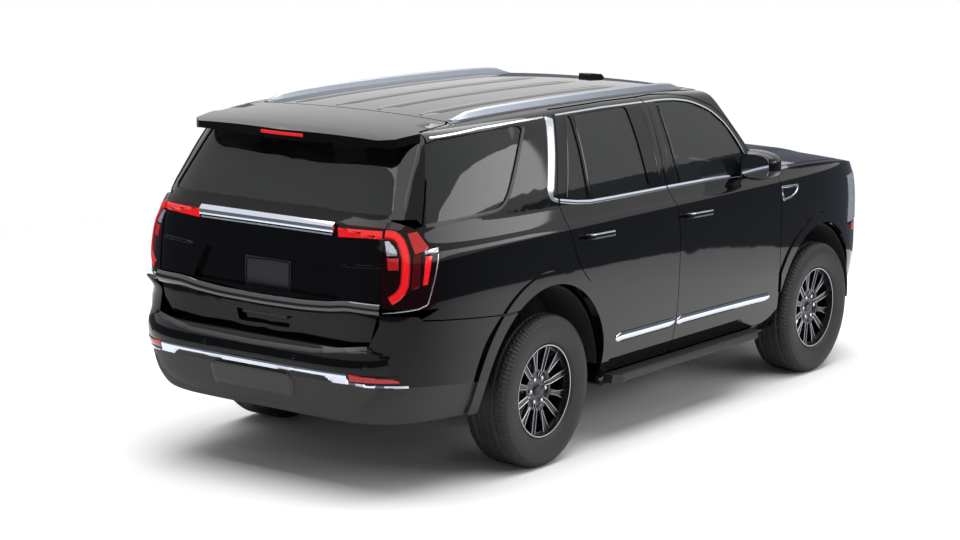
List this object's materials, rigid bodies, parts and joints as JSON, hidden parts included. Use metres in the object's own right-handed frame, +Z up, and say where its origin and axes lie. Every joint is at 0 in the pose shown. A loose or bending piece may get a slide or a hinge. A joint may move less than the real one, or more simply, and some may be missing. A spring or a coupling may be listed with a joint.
{
  "type": "large four-door suv",
  "caption": "Large body-on-frame suv with four opening doors, hood and tailgate, steered front wheels, three rows inside and free-turning wheels.",
  "frame": {"origin": "centre of the vehicle's length and width, on the ground", "axes": "+X towards the front, +Y to the left side, +Z up"},
  "size_m": [5.3413, 2.4016, 1.9396],
  "materials": {
    "body_paint": "gloss black paint",
    "tinted_glass": "tinted",
    "dark_trim": "moulded, fine grain",
    "red_lens": "clear red lens",
    "clear_lens": "clear lens over bright metal",
    "bright_trim": "satin bright",
    "frame_steel": "black chassis paint",
    "cast_block": "plain block",
    "seat_leather": "black hide",
    "wheel_alloy": "machined faces, dark pockets",
    "tyre": "moulded tread"
  },
  "bodies": {
    "body": {"body_side_right": "body_paint", "body_side_left": "body_paint", "front_fenders": "body_paint", "roof_panel": "body_paint", "rear_bumper": "body_paint", "tail_lamps": "red_lens", "front_bumper": "body_paint", "grille": "dark_trim", "nose_panel": "body_paint", "headlamps": "clear_lens", "fixed_glass": "tinted_glass", "roof_rails": "bright_trim", "running_boards": "dark_trim", "chassis_frame": "frame_steel", "floor_pan": "dark_trim", "front_liners": "dark_trim", "engine": "cast_block", "front_seats": "seat_leather", "rear_seats": "seat_leather", "dashboard": "dark_trim", "rear_axle": "frame_steel", "front_suspension": "frame_steel", "exhaust": "frame_steel"},
    "hood": {"hood": "body_paint"},
    "tailgate": {"tailgate": "body_paint", "number_plate": "dark_trim", "tailgate_glass": "tinted_glass", "tailgate_lamps": "red_lens", "tailgate_bar": "bright_trim"},
    "front_door_right": {"front_door_right": "body_paint", "front_door_glass_right": "tinted_glass", "mirror_right": "dark_trim"},
    "front_door_left": {"front_door_left": "body_paint", "front_door_glass_left": "tinted_glass", "mirror_left": "dark_trim"},
    "rear_door_right": {"rear_door_right": "body_paint", "rear_door_glass_right": "tinted_glass"},
    "rear_door_left": {"rear_door_left": "body_paint", "rear_door_glass_left": "tinted_glass"},
    "steering_right": {"steering_knuckle_right": "frame_steel"},
    "steering_left": {"steering_knuckle_left": "frame_steel"},
    "wheel_front_right": {"rim_front_right": "wheel_alloy", "tyre_front_right": "tyre"},
    "wheel_front_left": {"rim_front_left": "wheel_alloy", "tyre_front_left": "tyre"},
    "wheel_rear_right": {"rim_rear_right": "wheel_alloy", "tyre_rear_right": "tyre"},
    "wheel_rear_left": {"rim_rear_left": "wheel_alloy", "tyre_rear_left": "tyre"}
  },
  "joints": [
    {"name": "steering_right", "type": "hinge", "parent": "body", "child": "steering_right", "pos_m": [1.687, -0.762, 0.419], "axis": [0, 0, 1], "range_deg": [-35, 35]},
    {"name": "steering_left", "type": "hinge", "parent": "body", "child": "steering_left", "pos_m": [1.687, 0.762, 0.419], "axis": [0, 0, 1], "range_deg": [-35, 35]},
    {"name": "wheel_front_right_spin", "type": "hinge", "parent": "steering_right", "child": "wheel_front_right", "pos_m": [1.687, -0.87, 0.419], "axis": [0, 1, 0], "continuous": true},
    {"name": "wheel_front_left_spin", "type": "hinge", "parent": "steering_left", "child": "wheel_front_left", "pos_m": [1.687, 0.87, 0.419], "axis": [0, 1, 0], "continuous": true},
    {"name": "wheel_rear_right_spin", "type": "hinge", "parent": "body", "child": "wheel_rear_right", "pos_m": [-1.384, -0.87, 0.419], "axis": [0, 1, 0], "continuous": true},
    {"name": "wheel_rear_left_spin", "type": "hinge", "parent": "body", "child": "wheel_rear_left", "pos_m": [-1.384, 0.87, 0.419], "axis": [0, 1, 0], "continuous": true},
    {"name": "front_door_right_hinge", "type": "hinge", "parent": "body", "child": "front_door_right", "pos_m": [1.09593, -1.00715, 0.9], "axis": [0, 0, 1], "range_deg": [0, 68]},
    {"name": "rear_door_right_hinge", "type": "hinge", "parent": "body", "child": "rear_door_right", "pos_m": [-0.08993, -1.008, 0.9], "axis": [0, 0, 1], "range_deg": [0, 70]},
    {"name": "front_door_left_hinge", "type": "hinge", "parent": "body", "child": "front_door_left", "pos_m": [1.09593, 1.00715, 0.9], "axis": [0, 0, -1], "range_deg": [0, 68]},
    {"name": "rear_door_left_hinge", "type": "hinge", "parent": "body", "child": "rear_door_left", "pos_m": [-0.08993, 1.008, 0.9], "axis": [0, 0, -1], "range_deg": [0, 70]},
    {"name": "tailgate_hinge", "type": "hinge", "parent": "body", "child": "tailgate", "pos_m": [-1.91448, 0, 1.8424], "axis": [0, 1, 0], "range_deg": [0, 85]},
    {"name": "hood_hinge", "type": "hinge", "parent": "body", "child": "hood", "pos_m": [1.21029, 0, 1.34095], "axis": [0, -1, 0], "range_deg": [0, 50]}
  ],
  "couplings": [
    {"joint": "steering_left", "follows": "steering_right", "ratio": 1}
  ]
}
